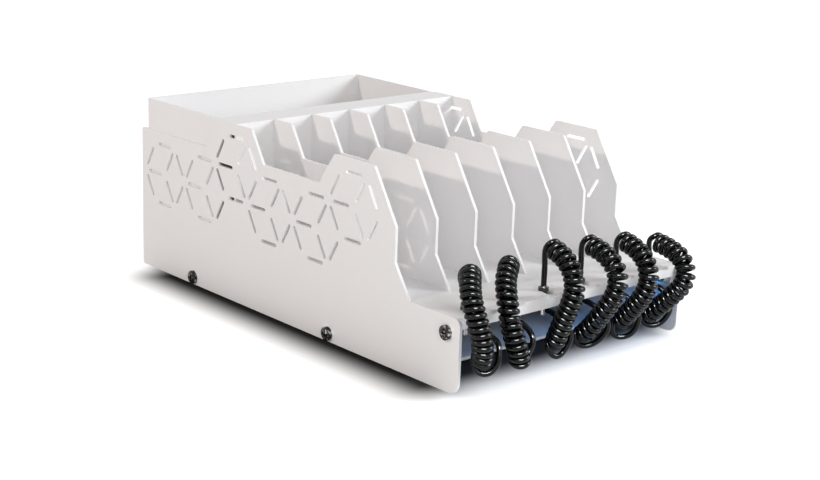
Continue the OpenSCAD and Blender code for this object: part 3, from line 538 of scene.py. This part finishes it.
class MakeCamera(bpy.types.Operator):
    """Stands the camera where the photograph was taken"""

    bl_idname = "organizer.make_camera"
    bl_label = "Camera"

    def execute(self, context):
        view = context.scene.organizer_camera
        forward = Vector((
            math.sin(view.yaw) * math.cos(view.pitch),
            math.cos(view.yaw) * math.cos(view.pitch),
            -math.sin(view.pitch),
        ))
        right = Vector((math.cos(view.yaw), -math.sin(view.yaw), 0))
        up = right.cross(forward)
        level_right = right * math.cos(view.roll) + up * math.sin(view.roll)
        level_up = up * math.cos(view.roll) - right * math.sin(view.roll)
        data = bpy.data.cameras.new("camera")
        data.lens = data.sensor_width * view.focal_px / view.frame_px
        camera = bpy.data.objects.new("camera", data)
        context.scene.collection.objects.link(camera)
        turned = Matrix((level_right, level_up, -forward)).transposed().to_4x4()
        camera.matrix_world = Matrix.Translation(view.place) @ turned
        context.scene.camera = camera
        return {"FINISHED"}


class MakeCords(bpy.types.Operator):
    """Winds the six charging cords from their plugs to their connectors"""

    bl_idname = "organizer.make_cords"
    bl_label = "Cords"

    def execute(self, context):
        settings = context.scene.organizer_cords
        jacket = cord_jacket()
        for index in range(BAYS):
            number = index + 1
            path = cord_path(index, settings)
            piece = curve_piece(f"charging_cord_{number}", path, settings.diameter, jacket)
            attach(piece, BODY)
            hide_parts(*[f"cord_{number}_{part}" for part in ("lead", "coil", "tail")])
            runs(path)[-1]
        return {"FINISHED"}


class FinishMetal(bpy.types.Operator):
    """Coats the sheet metal and plates the screws"""

    bl_idname = "organizer.finish_metal"
    bl_label = "Sheet metal and screws"

    def execute(self, context):
        dress(
            powder_coat(), "left_side_panel", "right_side_panel", "device_shelf", "front_rail",
            "cable_duct", "storage_box", "base_pan", *numbered("divider_{}", DIVIDERS),
        )
        dress(dark_chrome_painted_glints(), "panel_screws", "hub_nuts")
        dress(bright_nickel(), "hub_ports", "connector_tips", "usb_shells", "inlet_pins")
        return {"FINISHED"}


class FinishPlastic(bpy.types.Operator):
    """Gives the plastic, rubber and board pieces their finishes"""

    bl_idname = "organizer.finish_plastic"
    bl_label = "Plastic and rubber"

    def execute(self, context):
        black = context.scene.organizer_finish.plastic
        dress(
            moulded("black_moulding", black), "hub_case", "mains_inlet", "switch_housing",
            *numbered("charge_connector_{}", BAYS), *numbered("usb_plug_{}", BAYS),
        )
        rubber = moulded("rubber_pad", RUBBER, base_roughness=0.7, grain=0.35, grain_scale=1500)
        shell = moulded(
            "supply_shell", SUPPLY_BLACK, base_roughness=0.5, grain=0.4, grain_scale=1300
        )
        dress(rubber, "feet", "dc_lead")
        dress(circuit_board(), "hub_board")
        dress(moulded("port_blue", PORT_BLUE), "port_inserts")
        dress(lit_lens(), "status_lights")
        dress(shell, "power_supply")
        dress(moulded("wire_sleeve", SLEEVE_WHITE, base_roughness=0.45), "mains_wires")
        dress(moulded("rocker_red", ROCKER_RED, base_roughness=0.22), "switch_rocker")
        return {"FINISHED"}


# Floor and light

# The point that the lamps are turned to
LIT_POINT = Vector((0, 0, 60 * MM))
# Each lamp's name, direction and distance from that point, size, power in watts and colour
LAMPS = [
    ("key_lamp", (-0.85, 0.235, 0.475), 2.2, (0.12, 0.12), 11.5, (1.0, 0.89, 0.81)),
    ("front_lamp", (-0.3, -0.9, 0.3), 2.0, (0.5, 0.5), 6.0, (0.95, 0.98, 1.0)),
    ("right_lamp", (0.65, -0.6, 0.35), 2.0, (0.7, 0.7), 27.0, (0.92, 0.965, 1.0)),
    ("glint_lamp", (-0.35, -0.75, 0.75), 1.6, (0.8, 0.3), 90.0, (0.90, 0.97, 1.0)),
]
# Lamps that put highlights on the glossy pieces alone, and light nothing else
GLOSS_LAMPS = ("glint_lamp",)
# The even sky's colour, away from the camera's view, and the white that the camera sees
SKY_TINT = (0.975, 0.988, 1.0, 1.0)
SKY_WHITE = (1.0, 1.0, 1.0, 1.0)
# The blue lamps' power at the left and its growth to the right, their radius, and their place
# from the middle and the underside of the status lights
BLUE_POWER, BLUE_POWER_GROWTH = 0.0008, 0.007
BLUE_RADIUS = 1.2 * MM
BLUE_BEHIND, BLUE_BELOW = 5 * MM, 2 * MM


def area_lamp(context, name, place, target, size, power, colour):
    data = bpy.data.lights.new(name, "AREA")
    data.shape = "RECTANGLE"
    data.size, data.size_y = size
    data.energy = power
    data.color = colour
    lamp = bpy.data.objects.new(name, data)
    context.scene.collection.objects.link(lamp)
    lamp.location = place
    lamp.rotation_euler = (Vector(target) - Vector(place)).to_track_quat("-Z", "Y").to_euler()
    return lamp


class MakeStage(bpy.types.Operator):
    """Lays the white floor and sets the lamps"""

    bl_idname = "organizer.make_stage"
    bl_label = "Floor and light"

    def execute(self, context):
        settings = context.scene.organizer_stage
        self.lay_floor(context, settings.floor_size)
        self.set_sky(context, settings.sky)
        for name, way, distance, size, power, colour in LAMPS:
            place = LIT_POINT + Vector(way).normalized() * distance
            lamp = area_lamp(context, name, place, LIT_POINT, size, power, colour)
            if name in GLOSS_LAMPS:
                lamp.visible_diffuse = False
                self.light_only(lamp, self.glossy_pieces())
        self.set_blue_glow(context)
        context.scene.view_settings.view_transform = "Standard"
        return {"FINISHED"}

    def glossy_pieces(self):
        """The cords, the connectors and the screws."""
        connectors = numbered("charge_connector_{}", BAYS)
        cords = [bpy.data.objects[name] for name in numbered("charging_cord_{}", BAYS)]
        return cords + [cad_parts[name] for name in ("panel_screws", *connectors)]

    def light_only(self, lamp, pieces):
        lit = bpy.data.collections.new(f"{lamp.name}_lights")
        for piece in pieces:
            lit.objects.link(piece)
        lamp.light_linking.receiver_collection = lit

    def lay_floor(self, context, size):
        mesh = bpy.data.meshes.new("floor")
        shape = bmesh.new()
        half = size / 2
        corners = ((-half, -half), (half, -half), (half, half), (-half, half))
        shape.faces.new([shape.verts.new((x, y, 0)) for x, y in corners])
        shape.to_mesh(mesh)
        shape.free()
        floor = bpy.data.objects.new("floor", mesh)
        context.scene.collection.objects.link(floor)
        mesh.materials.append(self.paper(context.scene.organizer_stage))

    def paper(self, settings):
        """Paper with a painted contact shadow: its colour darkens and its camera-only light fades
        out towards the object, and away from it the camera sees it white.
        """
        floor = Finish(
            "studio_floor", Roughness=1.0, Specular_IOR_Level=0.0, Emission_Strength=1.0
        )
        way = floor.node("ShaderNodeSeparateXYZ", None, {"Vector": floor.place()})
        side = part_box("left_side_panel")
        half_width = -side[0].x - settings.side_inset
        half_depth = -side[0].y - settings.front_inset
        out_x, out_y = (
            (abs(Level(floor, way.outputs[axis])) - half).at_least(0.0)
            for axis, half in (("X", half_width), ("Y", half_depth))
        )
        distance = (out_x * out_x + out_y * out_y) ** 0.5
        away, far = ((distance / reach).eased() for reach in (settings.fade, settings.far))
        # Painted shadow: the floor's colour darkens from its paper tone to the contact level
        # towards the object
        painted_shade = settings.contact + (settings.paper - settings.contact) * away
        floor.colour(floor.grey(painted_shade))
        # The camera-only light fades out towards the object too, which keeps the painted shadow
        # dark
        lift = floor.seen() * (settings.lift * away + settings.far_lift * far)
        floor.feed(floor.shader.inputs["Emission Color"], floor.grey(lift))
        return floor.material

    def set_sky(self, context, strength):
        """An even sky, which the camera sees as white."""
        world = bpy.data.worlds.new("sky")
        context.scene.world = world
        graph = Graph(world)
        sky, white = (
            graph.node("ShaderNodeBackground", None, {"Color": colour, "Strength": level})
            for colour, level in ((SKY_TINT, strength), (SKY_WHITE, 1.0))
        )
        both = graph.node(
            "ShaderNodeMixShader", None,
            {"Fac": graph.seen(), 1: sky.outputs[0], 2: white.outputs[0]},
        )
        graph.node("ShaderNodeOutputWorld", None, {"Surface": both.outputs[0]})

    def set_blue_glow(self, context):
        """A small blue lamp behind each status light, stronger to the right."""
        low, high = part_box("status_lights")
        lens_size = high.y - low.y
        blue = context.scene.organizer_finish.blue
        for index in range(BAYS):
            share = index / (BAYS - 1)
            x = low.x + lens_size / 2 + (high.x - low.x - lens_size) * share
            data = bpy.data.lights.new(f"blue_glow_{index + 1}", "POINT")
            data.energy = BLUE_POWER + BLUE_POWER_GROWTH * share
            data.shadow_soft_size = BLUE_RADIUS
            data.color = tuple(blue)
            lamp = bpy.data.objects.new(data.name, data)
            lamp.location = (x, (low.y + high.y) / 2 + BLUE_BEHIND, low.z - BLUE_BELOW)
            context.scene.collection.objects.link(lamp)
            self.light_only(lamp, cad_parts.values())


# Panel and registration


class OrganizerPanel(bpy.types.Panel):
    """Lists the organizer's steps"""

    bl_idname = "VIEW3D_PT_organizer"
    bl_label = "Charging Station Organizer"
    bl_space_type = "VIEW_3D"
    bl_region_type = "UI"
    bl_category = "Organizer"

    def draw(self, context):
        for step in STEPS:
            self.layout.operator(step.bl_idname)


GROUPS = {
    "organizer_camera": CameraSettings,
    "organizer_cords": CordSettings,
    "organizer_finish": FinishSettings,
    "organizer_stage": StageSettings,
}
STEPS = (MakeCamera, MakeCords, FinishMetal, FinishPlastic, MakeStage)
CLASSES = (*GROUPS.values(), *STEPS, OrganizerPanel)


def register():
    for item in CLASSES:
        bpy.utils.register_class(item)
    for name, group in GROUPS.items():
        setattr(bpy.types.Scene, name, bpy.props.PointerProperty(type=group))


def unregister():
    for name in GROUPS:
        delattr(bpy.types.Scene, name)
    for item in reversed(CLASSES):
        bpy.utils.unregister_class(item)


def main():
    register()
    bpy.ops.organizer.make_camera()
    bpy.ops.organizer.make_cords()
    bpy.ops.organizer.finish_metal()
    bpy.ops.organizer.finish_plastic()
    bpy.ops.organizer.make_stage()


if __name__ == "__main__":
    main()
